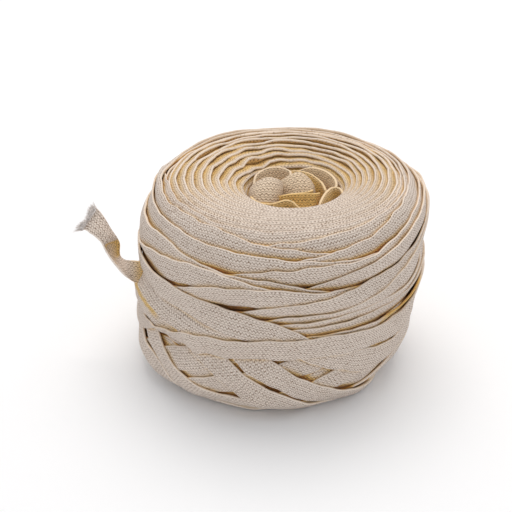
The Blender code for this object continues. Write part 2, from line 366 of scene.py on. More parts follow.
def lay_turns():
    """Lays the tape on a height map of the skin, half a turn at a time: what lies below is read from
    the map, the tape is bridged over it, its upper edge is lifted by the cube of the share across, and
    its top is then written to the map. Returns each turn's bearings, climbs, heights and length so
    far, and two running means of the map."""
    climbs = np.arange(LOWEST, HIGHEST, ROW)
    ground = np.tile(CROWN_BED * eased((climbs - CROWN_BED_START) / CROWN_BED_RISE), (COLUMNS, 1))
    bearings, along, upper, width, lift, stand_off = worked_tape()
    shares = np.linspace(0, 1, ACROSS)
    columns = np.arange(len(upper)) % COLUMNS
    climb = upper[:, None] - shares * width[:, None]
    below = np.zeros(climb.shape)
    height = np.zeros(climb.shape)
    half = COLUMNS // 2
    for start in range(0, len(upper), half):
        stop = start + half
        behind, ahead = max(start - OVERLAP, 0), min(stop + OVERLAP, len(upper))
        fresh = slice(start, ahead)
        row = np.clip((climb[fresh] - LOWEST) / ROW, 0, len(climbs) - 1.001)
        low = row.astype(int)
        part = row - low
        column = columns[fresh, None]
        below[fresh] = ground[column, low] * (1 - part) + ground[column, low + 1] * part
        taut = bridged(below[behind:ahead])[start - behind : stop - behind] + TAPE_THICK
        raised = lift[start:stop, None] * (1 - shares) ** 3
        height[start:stop] = taut + raised + stand_off[start:stop, None]
        place = (upper[start:stop, None] - climbs) / width[start:stop, None] * (ACROSS - 1)
        inside = (place >= 0) & (place <= ACROSS - 1)
        low = np.clip(place.astype(int), 0, ACROSS - 2)
        part = np.clip(place - low, 0, 1)
        tops = np.take_along_axis(height[start:stop], low, 1) * (1 - part)
        tops = tops + np.take_along_axis(height[start:stop], low + 1, 1) * part
        own = columns[start:stop]
        ground[own] = np.where(inside, tops, ground[own])
    turns = []
    for turn in range(len(TURNS)):
        own = slice(turn * COLUMNS, (turn + 1) * COLUMNS + 1)
        turns.append((bearings[own], climb[own], height[own], along[own]))
    level, near = [
        running_mean(running_mean(ground, columns_off, 0, True), rows_off, 1)
        for columns_off, rows_off in (LEVEL_REACH, NEAR_REACH)
    ]
    return {"turns": turns, "level": level, "near": near, "climbs": climbs}


def read_map(laid, layer, bearing, climb):
    """One of the laid maps read at any place, between the map's rows."""
    climbs = laid["climbs"]
    columns = np.round((bearing - BEARINGS[0]) / DEGREES).astype(int) % COLUMNS
    row = np.clip((climb - climbs[0]) / ROW, 0, len(climbs) - 1.001)
    low = row.astype(int)
    part = row - low
    return laid[layer][columns, low] * (1 - part) + laid[layer][columns, low + 1] * part


def mesh_piece(name, points, faces, uv, painted_shade, material):
    """A smooth mesh from points and four-cornered faces. Each point also has its place along and
    across the tape, and its painted shade, mostly from its depth in the roll, which the material
    turns golden as shade."""
    mesh = bpy.data.meshes.new(name)
    mesh.from_pydata((points * MM).tolist(), [], faces.tolist())
    layer = mesh.uv_layers.new(name="tape")
    layer.data.foreach_set("uv", uv[faces.reshape(-1)].astype(np.float32).reshape(-1))
    # The painted shade goes into the "hollow" attribute, which the material paints golden, then brown.
    shade = mesh.attributes.new("hollow", "FLOAT", "POINT")
    shade.data.foreach_set("value", painted_shade.astype(np.float32))
    mesh.update()
    mesh.shade_smooth()
    mesh.materials.append(material)
    piece = bpy.data.objects.new(name, mesh)
    bpy.context.scene.collection.objects.link(piece)
    return piece


def build_strips(name, places, uvs, painted_shades, material):
    """Several strips joined as one mesh. A strip is a grid of places, rows along a path by places
    round its ring: quads between neighbouring rows and places, with each ring closed."""
    faces = []
    start = 0
    for place in places:
        rows, ring = place.shape[:2]
        row = np.arange(rows - 1)[:, None]
        side = np.arange(ring)[None, :]
        beside = (side + 1) % ring
        corners = [
            row * ring + beside,
            row * ring + side,
            (row + 1) * ring + side,
            (row + 1) * ring + beside,
        ]
        faces.append(start + np.stack(corners, -1).reshape(-1, 4))
        start += rows * ring
    points = np.concatenate([place.reshape(-1, 3) for place in places])
    uv = np.concatenate([uv.reshape(-1, 2) for uv in uvs])
    painted_shade = np.concatenate([painted_shade.reshape(-1) for painted_shade in painted_shades])
    return mesh_piece(name, points, np.concatenate(faces), uv, painted_shade, material)


# Painted shade by depth below the tape near by: none down to the shallow depth, golden at 1 a
# further depth step below it, and warm brown at the deepest. The tape's own edge gets a little
# painted shade too.
SHALLOW = 0.25
SHADE_DEPTH_STEP = 0.95
DEEPEST = 1.6
EDGE_PAINTED_SHADE = 0.28

# A turn's cross-section: how far across the tape, and how far below its top, for each place round it.
SECTION = (
    (0.000, 0.62),
    (0.004, 0.28),
    (0.022, 0.06),
    (0.060, 0.00),
    (0.140, 0.02),
    (0.260, 0.03),
    (0.380, 0.02),
    (0.500, 0.00),
    (0.620, 0.02),
    (0.740, 0.03),
    (0.860, 0.02),
    (0.940, 0.00),
    (0.978, 0.06),
    (0.996, 0.28),
    (1.000, 0.62),
    (0.985, 1.00),
    (0.015, 1.00),
)


def ribbon_rings(climb, height):
    """The cross-section carried along a turn: climb and height read at each share across, less how
    far that place of the section lies below the top."""
    section = np.array(SECTION)
    place = section[:, 0] * (climb.shape[1] - 1)
    low = np.minimum(place.astype(int), climb.shape[1] - 2)
    part = place - low
    across = climb[:, low] * (1 - part) + climb[:, low + 1] * part
    top = height[:, low] * (1 - part) + height[:, low + 1] * part
    return across, top - section[:, 1] * TAPE_THICK, section[:, 0]


def golden(bearing, climb, turn):
    """How much golden painted shade a turn gets in the gaps under later turns: eased over a millimetre
    at half the gap's height from its middle line, and over a fifth of its length at its ends."""
    gap_shade = 0.0
    for start, low, stop, high, half, over in PAINTED_SHADE_GAPS:
        if turn < over:
            share = (bearing - start) / (stop - start)
            inside = eased(half - np.abs(climb - (low + (high - low) * share)) + 0.5)
            gap_shade = gap_shade + inside * eased(5 * share) * eased(5 * (1 - share))
    return gap_shade


def turns_piece(name, first, last, every, laid, material):
    """The turns from first up to last as one mesh of ribbons, with every so many of their columns.
    Painted shade grows with the depth below the tape near by, and a little down the tape's own edge."""
    places, uvs, painted_shades = [], [], []
    for turn in range(first, last):
        bearing, climb, height, along = (part[::every] for part in laid["turns"][turn])
        bearing, along = bearing[:, None], along[:, None]
        across, top, share = ribbon_rings(climb, height)
        level = read_map(laid, "level", bearing, across)
        depth = read_map(laid, "near", bearing, across) - top
        places.append(skin(bearing, across, top - level))
        uvs.append(np.stack(np.broadcast_arrays(along, share * TAPE_WIDTH), -1))
        # Painted shade: gaps and the tape's side faces are coloured golden to brown where shade falls.
        edge = EDGE_PAINTED_SHADE * np.array(SECTION)[:, 1]
        painted_shade = np.clip((depth - SHALLOW) / SHADE_DEPTH_STEP, 0, DEEPEST) + edge
        painted_shade = painted_shade + golden(((bearing + 90) % 360) - 90, across, turn)
        painted_shades.append(np.clip(painted_shade, 0, DEEPEST))
    return build_strips(name, places, uvs, painted_shades, material)


# The crown's leaves: one spiral of tape from the hollow's wall out to the shoulder, where it fades
# into the side; the gap between neighbouring leaves by bearing; and places where leaves stand aside:
# ring, bearing, how many rings and degrees the move reaches over, and how far inwards the edge moves.
CROWN_INNER = 153.0
CROWN_OUTER = 106.0
CROWN_FADE = 9.0
LEAF_PITCH = 3.5
LEAF_COLUMNS = 240
GAP_BEARINGS = (0, 55, 90, 125, 155, 185, 215, 240, 270, 305, 360)
GAPS = (0.05, 0.12, 0.42, 0.5, 0.5, 0.5, 0.7, 0.65, 0.42, 0.16, 0.05)
WAVES = (
    (2.9, 216.0, 0.5, 9.0, 2.0),
    (4.1, 214.0, 0.6, 9.0, -1.7),
    (4.6, 208.0, 0.4, 8.0, 2.1),
    (5.7, 208.0, 0.5, 9.0, -1.6),
    (6.5, 204.0, 0.4, 8.0, 1.8),
    (7.5, 204.0, 0.5, 9.0, -1.4),
    (4.0, 192.0, 1.6, 7.0, -1.0),
    (6.0, 160.0, 1.0, 14.0, 0.7),
    (8.0, 150.0, 1.0, 16.0, -0.6),
    (5.0, 118.0, 0.8, 15.0, -0.6),
    (3.3, 234.0, 0.7, 8.0, 1.4),
    (5.2, 176.0, 0.6, 8.0, 1.3),
    (6.8, 184.0, 0.5, 9.0, -1.2),
    (3.2, 168.0, 0.6, 9.0, -1.0),
    (8.6, 224.0, 0.6, 9.0, 1.2),
    (7.2, 234.0, 0.5, 8.0, -1.2),
)
# The underside of a leaf: how far across the tape, from its far edge back to its near one, and how
# thick it may swell to rest on the leaf below.
UNDERSIDE = (0.985, 0.6, 0.36, 0.26, 0.19, 0.13, 0.08, 0.015)
SWELL_LIMIT = 4.0
# How far a leaf wanders, each with the length of its waves: the share of its gap, its edge in long
# and short ones, and its height.
GAP_WANDER = (0.55, 38.0)
LEAF_WANDER = (0.52, 16.0)
LEAF_RIPPLE = (0.13, 5.0)
LEAF_HEIGHT = 0.4
LEAF_HEIGHT_WANDER = (0.25, 22.0)
# How far the leaves sink where the side's turns take over from them, and the climb where they start.
LEAF_SINK = 1.6
LEAF_SINK_START = 117.0
# How much golden painted shade a leaf gets: where on its face the painted shade starts and over
# what width it grows, the little that it has all over, and how much its underside gets.
FACE_SHADE_START = 0.3
FACE_SHADE_WIDTH = 2.4
LEAF_PAINTED_SHADE = 0.15
UNDERSIDE_PAINTED_SHADE = 0.9


def leaf_path():
    """The one path of all leaves, by column: bearing, length so far, upper edge, lean, height and how
    far the leaves gape. The edge falls by one pitch a turn and is moved by the waves, each the product
    of two bell curves. The lean is the angle whose sine is thickness plus gap over pitch."""
    rng = np.random.default_rng(11)
    turns = (CROWN_INNER - CROWN_OUTER) / LEAF_PITCH
    step = 360 / LEAF_COLUMNS
    bearing = np.arange(0, 360 * turns, step)
    edge = CROWN_INNER - LEAF_PITCH * (bearing / 360)
    along = np.cumsum(np.radians(step) * outline_at(edge)[1])
    gape = running_mean(np.interp(bearing % 360, GAP_BEARINGS, GAPS), 10, 0)
    fading = eased((edge - CROWN_OUTER + 2) / CROWN_FADE)
    gap = gape * np.clip(1 + wobble(along, rng, *GAP_WANDER), 0.1, 2.3) * fading
    lean = np.arcsin(np.clip((TAPE_THICK + gap) / LEAF_PITCH, 0.2, 0.9))
    lean = running_mean(lean, 5, 0)
    for at_ring, at_bearing, rings, degrees, shift in WAVES:
        centre = 360 * math.floor(at_ring) + at_bearing
        nearest = np.abs((bearing - centre + 180) % 360 - 180)
        level = (edge - (CROWN_INNER - LEAF_PITCH * (at_ring + at_bearing / 360))) / LEAF_PITCH
        edge = edge + shift * np.exp(-((nearest / degrees) ** 2) - (level / rings) ** 2)
    stray = wobble(along, rng, *LEAF_WANDER) + wobble(along, rng, *LEAF_RIPPLE)
    edge = edge + gape * fading * stray
    height = LEAF_HEIGHT + wobble(along, rng, *LEAF_HEIGHT_WANDER) * gape
    height = height - LEAF_SINK * eased((LEAF_SINK_START - edge) / CROWN_FADE)
    return bearing, along, edge, lean, height, gape


def crown_piece(name, material):
    """The crown's leaves. A leaf's width slopes down and outwards from its path under the next leaf.
    Its underside swells, from half a millimetre in, by the room left above the face of the leaf below,
    so the gaps between leaves are shallow. Painted shade grows inwards from the edge where the leaves
    gape, and the underside is painted golden as shade."""
    bearing, along, edge, lean, height, gape = leaf_path()
    upper = np.array(SECTION[:-2])
    away = np.concatenate([upper[:, 0], UNDERSIDE]) * TAPE_WIDTH
    thick = np.concatenate([upper[:, 1], np.ones(len(UNDERSIDE))]) * TAPE_THICK
    swell = eased((away - 0.5) / 2.0) * (np.arange(len(away)) >= len(upper))
    slope = lean[:, None]
    inner = np.maximum(np.arange(len(edge)) - LEAF_COLUMNS, 0)
    reach = away + np.maximum(edge[inner] - edge, LEAF_PITCH - 2.0)[:, None]
    face = height[inner, None] - reach * np.sin(slope[inner])
    room = (height[:, None] - away * np.sin(slope) - face) / np.cos(slope) - TAPE_THICK - FLOOR_GAP
    thick = thick + np.clip(room, 0, SWELL_LIMIT) * swell
    top = height[:, None] - away * np.sin(slope) - thick * np.cos(slope)
    climb = edge[:, None] - away * np.cos(slope) + thick * np.sin(slope)
    points = skin(bearing[:, None], climb, top)
    uv = np.stack(np.broadcast_arrays(along[:, None], away), -1)
    # Painted shade: golden on the faces in the gaps between leaves and on their shaded undersides.
    painted_shade = np.clip((away - FACE_SHADE_START) / FACE_SHADE_WIDTH, 0, 1) * eased(gape * 1.8)[:, None]
    painted_shade = painted_shade + LEAF_PAINTED_SHADE * gape[:, None]
    painted_shade = np.maximum(painted_shade, UNDERSIDE_PAINTED_SHADE * eased((away - 0.2) / 1.2) * (swell > 0))
    return build_strips(name, [points], [uv], [np.clip(painted_shade, 0, 1)], material)


# The mass below the turns: its middles in the hollow's floor and in the base, how far it sinks below
# the crown and from what climb, and the painted shade of the gaps where it shows, at the side and,
# above a height, in the hollow.
FLOOR_MIDDLE = (6.5, 0.0, 80.0)
FLOOR_TOP = 82.0
BASE_MIDDLE = (1.0, 0.0, 2.5)
CROWN_SINK = 3.5
CROWN_SINK_START = 100.0
SIDE_PAINTED_SHADE = 1.4
HOLLOW_PAINTED_SHADE = 0.9
HOLLOW_LEVEL = 74.0


def core_piece(name, laid, material):
    """The mass of tape below the outer turns: the skin at the height of the bare bed, closed to a
    point over the hollow's floor and in the base."""
    bearing, climb = np.meshgrid(
        np.arange(0, 360, 3.0), np.arange(LOWEST, CLIMBS[-1], 2.0), indexing="ij"
    )
    level = read_map(laid, "level", bearing, np.minimum(climb, 104.0))
    points = skin(bearing, climb, -level - CROWN_SINK * eased((climb - CROWN_SINK_START) / 12.0))
    floor_middle, base_middle = np.array(FLOOR_MIDDLE), np.array(BASE_MIDDLE)
    floor = floor_middle + (points[:, -1:] - floor_middle) * np.linspace(0.8, 0.0, 5)[None, :, None]
    floor[..., 2] = np.minimum(floor[..., 2], FLOOR_TOP)
    base = base_middle + (points[:, :1] - base_middle) * np.array([0.0, 0.5])[None, :, None]
    rows = np.concatenate([base, points, floor], 1).transpose(1, 0, 2)[::-1]
    uv = np.stack([rows[..., 0] + rows[..., 1], rows[..., 2]], -1)
    # Painted shade: the mass shows only down in gaps and the hollow, so it is coloured golden to brown
    # there.
    painted_shade = np.where(rows[..., 2] > HOLLOW_LEVEL, HOLLOW_PAINTED_SHADE, SIDE_PAINTED_SHADE)
    return build_strips(name, [rows], [uv], [painted_shade], material)


# The crumpled folds in the hollow, as rows of the tape's upper edge, its lower edge, and how far its
# middle bows towards the front.
FOLDS = (
    (
        (-12.6, 3.0, 84.0, -13.0, 1.0, 79.0, 0.3),
        (-12.4, 0.0, 87.4, -14.0, -6.0, 82.0, 1.0),
        (-9.6, -1.6, 91.0, -11.8, -11.0, 85.0, 2.0),
        (-6.0, -2.0, 93.2, -7.2, -12.6, 86.0, 2.6),
        (-2.6, -1.4, 92.8, -2.6, -11.0, 85.0, 2.2),
        (0.2, 0.5, 90.4, 0.6, -4.0, 82.0, 1.2),
        (0.8, 4.0, 86.0, 0.0, 3.0, 78.0, 0.3),
    ),
    (
        (-3.5, 3.0, 86.2, -3.0, 2.0, 78.5, 0.0),
        (-0.6, 4.5, 88.0, 0.6, 0.5, 80.5, 0.3),
        (3.6, 6.5, 90.2, 6.6, -2.0, 84.6, 0.9),
        (8.7, 8.0, 91.8, 11.2, -2.6, 85.2, 1.6),
        (13.2, 7.5, 89.6, 14.6, -1.6, 84.6, 1.4),
        (16.2, 6.0, 85.8, 16.6, 1.5, 80.0, 0.6),
        (17.0, 7.5, 80.5, 17.0, 5.0, 74.5, 0.2),
    ),
    (
        (-5.0, -2.0, 83.5, -4.5, -5.0, 73.5, 0.0),
        (-1.5, -6.2, 86.0, -0.9, -10.0, 76.0, -0.3),
        (2.6, -8.2, 87.9, 2.6, -12.6, 78.0, -0.6),
        (7.1, -8.8, 88.8, 7.1, -14.0, 79.2, -0.9),
        (12.1, -8.8, 88.9, 12.1, -14.2, 79.4, -0.8),
        (16.6, -8.2, 88.7, 16.6, -13.4, 79.0, -0.4),
        (18.8, -5.0, 87.4, 19.0, -9.0, 77.6, 0.0),
    ),
    (
        (-13.5, -8.0, 87.0, -12.5, -10.0, 76.5, 0.0),
        (-11.8, -12.8, 87.6, -11.0, -15.0, 77.0, 0.2),
        (-7.8, -15.8, 87.3, -7.8, -17.0, 76.6, 0.3),
        (-3.3, -17.0, 87.9, -3.3, -18.0, 77.1, 0.3),
        (0.3, -17.0, 88.9, 0.3, -18.0, 78.0, 0.2),
        (3.0, -16.6, 89.4, 3.0, -17.6, 78.5, 0.1),
        (5.8, -17.0, 88.8, 5.8, -18.0, 78.0, 0.2),
        (8.6, -17.8, 86.6, 8.6, -19.0, 76.0, 0.3),
        (13.0, -18.2, 84.0, 13.0, -19.0, 73.5, 0.2),
    ),
    (
        (15.0, -19.5, 85.0, 16.0, -20.5, 74.5, 0.0),
        (18.0, -18.2, 87.3, 19.0, -19.4, 76.6, 0.2),
        (19.4, -14.6, 88.8, 21.0, -16.4, 78.2, 0.4),
        (21.4, -9.0, 89.4, 23.4, -11.0, 78.9, 0.4),
        (24.2, -3.6, 89.2, 25.6, -5.6, 78.7, 0.2),
        (26.9, -2.8, 88.8, 27.4, -4.8, 78.2, 0.0),
        (28.3, -7.0, 88.4, 28.4, -8.0, 77.6, -0.2),
        (27.6, -13.0, 87.8, 28.0, -13.6, 77.0, -0.2),
    ),
    (
        (4.0, 18.0, 87.0, 3.0, 14.0, 78.0, 0.0),
        (6.5, 15.5, 88.8, 6.0, 10.5, 79.5, 0.2),
        (11.0, 13.0, 89.6, 11.5, 7.6, 80.4, 0.4),
        (15.0, 11.0, 89.0, 16.0, 6.0, 79.6, 0.4),
        (19.0, 7.0, 87.2, 20.0, 2.6, 77.8, 0.2),
        (21.0, 1.0, 85.6, 21.6, -1.6, 75.6, 0.0),
    ),
    (
        (-11.5, 6.0, 86.5, -9.5, 6.0, 77.5, 0.0),
        (-10.4, 11.0, 88.8, -8.4, 9.5, 79.4, 0.3),
        (-6.0, 15.5, 89.9, -4.8, 13.0, 80.4, 0.4),
        (-0.6, 17.6, 89.6, -0.2, 14.6, 80.0, 0.3),
        (4.4, 16.0, 88.6, 3.8, 13.0, 79.0, 0.2),
        (4.6, 11.6, 87.4, 3.8, 9.6, 77.8, 0.0),
    ),
    (
        (8.0, 19.6, 86.4, 8.0, 16.6, 77.0, 0.0),
        (14.0, 18.2, 89.0, 13.6, 15.2, 79.6, 0.3),
        (20.0, 14.4, 89.8, 19.0, 11.8, 80.2, 0.4),
        (24.4, 8.6, 89.4, 23.0, 6.6, 79.8, 0.3),
        (26.0, 2.4, 88.4, 24.4, 1.4, 78.8, 0.2),
        (24.6, -1.6, 87.0, 23.0, -2.0, 77.4, 0.0),
    ),
    (
        (1.4, -3.4, 85.4, 0.6, -5.6, 76.4, 0.0),
        (4.6, -5.4, 87.0, 4.2, -8.0, 77.8, -0.2),
        (9.4, -5.6, 87.6, 9.2, -8.6, 78.4, -0.4),
        (13.8, -3.4, 87.2, 13.8, -6.2, 78.0, -0.3),
        (15.8, 0.6, 86.2, 15.6, -1.2, 77.0, 0.0),
        (14.0, 4.4, 85.0, 13.6, 3.0, 76.4, 0.0),
    ),
)
# How much golden painted shade each fold's face gets, for the shade in the hollow.
FOLD_PAINTED_SHADES = (0.3, 0.35, 0.95, 0.8, 0.6, 0.7, 0.4, 0.5, 0.85)

# The loose end, in the same rows: out of the roll's left side, up and over, and out to its cut.
LOOSE_END = (
    (-62.0, -17.0, 57.4, -62.8, -18.5, 46.5, 0.0),
    (-65.0, -16.8, 57.8, -65.5, -18.4, 46.9, 0.0),
    (-68.3, -15.5, 57.6, -67.8, -19.5, 48.4, 0.3),
    (-71.8, -12.5, 56.6, -70.7, -21.0, 53.0, 0.2),
    (-73.8, -10.5, 57.4, -73.6, -20.8, 57.2, -1.0),
    (-73.9, -10.0, 60.0, -76.9, -19.6, 61.6, -2.6),
    (-73.6, -10.2, 63.4, -79.4, -18.0, 65.0, -2.2),
    (-74.6, -10.8, 67.0, -81.3, -17.4, 68.6, 0.6),
    (-77.3, -10.0, 71.4, -84.0, -16.4, 70.9, 1.2),
    (-79.8, -8.8, 75.8, -86.3, -15.4, 71.9, 0.8),
    (-82.3, -7.4, 79.0, -88.5, -13.8, 72.6, 0.3),
    (-84.2, -7.0, 80.9, -90.6, -14.4, 72.9, 0.0),
)
# Its trough, golden with painted shade: the height of its middle, half its height, and how far across
# the tape it reaches; and how far along the tape its root is painted golden as shade.
TROUGH_HEIGHT = 62.0
TROUGH_HALF = 5.2
TROUGH_WIDTH = 9.6
ROOT_LENGTH = 4.5
# The frayed threads: how many, the steps along one and the sides round it, their shortest and longest,
# and half a thread's thickness.
THREADS = 260
THREAD_STEPS = 9
THREAD_SIDES = 3
THREAD_LENGTHS = (2.0, 3.6)
THREAD_THIN = 0.15


def banded(rows, steps=8):
    """A band of tape between two edges. Each row is spread by the smooth curve through all rows; a
    place across lies on the line between the edges, moved by the bow times four s less four s squared
    along the band's own normal. The section goes round the band, closed at both ends."""
    curve = through(rows, steps)
    upper, lower, bow = curve[:, :3], curve[:, 3:6], curve[:, 6]
    middle = (upper + lower) / 2
    travel = np.gradient(middle, axis=0)
    normal = np.cross(travel, upper - lower)
    normal /= np.linalg.norm(normal, axis=1, keepdims=True)
    if normal[0, 1] > 0:
        normal = -normal
    along = np.concatenate([[0.0], np.cumsum(np.linalg.norm(np.diff(middle, axis=0), axis=1))])
    share, below = np.array(SECTION)[None].transpose(2, 0, 1)
    raised = bow[:, None] * 4 * share * (1 - share) - below * TAPE_THICK
    share = share[..., None]
    places = upper[:, None] * (1 - share) + lower[:, None] * share + raised[..., None] * normal[:, None]
    uv = np.stack(np.broadcast_arrays(along[:, None], share[..., 0] * TAPE_WIDTH), -1)
    ends = np.broadcast_to(places.mean(1, keepdims=True), places.shape)
    places = np.concatenate([ends[:1], places, ends[-1:]])
    uv = np.concatenate([uv[:1], uv, uv[-1:]])
    return places, uv


def fold_painted_shade(base, across):
    """How much golden painted shade a fold gets at a place across it: its own share, a fifth less on
    its upper edge. A deeply shaded fold's grows to one over three millimetres."""
    edge = np.where(across > 0.2, 1.0, 0.8)
    return base * edge + (1 - base) * (base > 0.5) * eased(across / 3)


def folds_piece(name, material):
    """The crumpled folds in the hollow."""
    places, uvs = zip(*[banded(rows) for rows in FOLDS])
    # Painted shade: the folds down in the hollow are coloured golden where they lie in shade.
    painted_shades = [fold_painted_shade(base, uv[..., 1]) for base, uv in zip(FOLD_PAINTED_SHADES, uvs)]
    return build_strips(name, places, uvs, painted_shades, material)


def loose_end_piece(name, material):
    """The loose end, with golden painted shade in the trough where it turns over and where it leaves
    the roll.
    """
    places, uv = banded(LOOSE_END, 10)
    # Painted shade: golden in the shaded trough and at the root, where the tape leaves the roll.
    trough = eased((TROUGH_HALF - np.abs(places[..., 2] - TROUGH_HEIGHT)) / 1.6)
    trough = trough * (uv[..., 1] < TROUGH_WIDTH)
    root = np.exp(-((uv[..., 0] / ROOT_LENGTH) ** 2))
    return build_strips(name, [places], [uv], [np.maximum(trough, root)], material)


def frayed_piece(name, material):
    """The loose end's frayed threads: thin tubes that leave the cut edge, fan out by their place across
    it, bend by the square of their length, curl by a small sine, and thin out by the cube of it."""
    rng = np.random.default_rng(23)
    upper, lower = np.array(LOOSE_END[-1][:3]), np.array(LOOSE_END[-1][3:6])
    inner = (np.array(LOOSE_END[-2][:3]) + np.array(LOOSE_END[-2][3:6])) / 2
    outward = (upper + lower) / 2 - inner
    outward /= np.linalg.norm(outward)
    across = (lower - upper) / np.linalg.norm(lower - upper)
    aside = np.cross(outward, across)
    share = rng.uniform(0.0, 1.0, THREADS)
    length = rng.uniform(*THREAD_LENGTHS, THREADS) * (1 + 0.22 * np.sin(9.0 * share))
    fan = (share - 0.5) * 0.8 + rng.normal(0, 0.2, THREADS)
    lift = rng.normal(0, 0.22, THREADS)
    reach = np.linspace(0, 1, THREAD_STEPS)[None, :, None] * length[:, None, None]
    start = (upper + (lower - upper) * share[:, None])[:, None]
    bend = (fan[:, None] * across + lift[:, None] * aside)[:, None]
    path = start - 0.8 * outward + reach * outward + bend * reach**2 / 6.0 * 1.2 + bend * reach * 0.45
    path = path + aside * (0.35 * rng.normal(0, 1, THREADS))[:, None, None]
    curl = 0.18 * np.sin(reach[..., 0] * rng.uniform(2, 6, THREADS)[:, None] + 6.0 * share[:, None])
    path = path + curl[..., None] * (across + aside)
    angle = np.arange(THREAD_SIDES) * 2 * math.pi / THREAD_SIDES
    thin = THREAD_THIN * (1.05 - np.linspace(0, 1, THREAD_STEPS) ** 3)
    ring = np.cos(angle)[:, None] * across + np.sin(angle)[:, None] * aside
    places = path[:, :, None] + thin[None, :, None, None] * ring[None, None]
    uvs = [np.zeros((THREAD_STEPS, THREAD_SIDES, 2))] * THREADS
    painted_shades = [np.zeros((THREAD_STEPS, THREAD_SIDES))] * THREADS
    return build_strips(name, list(places), uvs, painted_shades, material)


# The weave, in millimetres: from rib to rib across the tape, from crossing to crossing along and
# across it, half the length of a zigzag and how steep it is, and how far the lines are shaken.
RIB_PITCH = 1.2
CROSSINGS_ALONG = 1.6
CROSSINGS_ACROSS = 2.4
ZIGZAG_HALF = 0.80
ZIGZAG_SLOPE = 0.85
SHAKE_ALONG = 0.8
SHAKE_ACROSS = 0.6
# Where the weave is open and grey: the bearing and climb of its middle.
PATCH = (-60.0, 111.0)

# Colours: the tape's face and the golden of its painted shade, the same for its frayed threads, the
# brown of its grooves and specks, and the warm brown of the painted shade in the deepest slits.
CREAM = (0.885, 0.78, 0.69)
SHADE_GOLDEN = (0.92, 0.62, 0.22)
THREAD_CREAM = (0.96, 0.90, 0.86)
THREAD_SHADE_GOLDEN = (0.93, 0.62, 0.29)
GROOVE_BROWN = (0.20, 0.105, 0.05)
SLIT_SHADE_BROWN = (0.66, 0.30, 0.08)


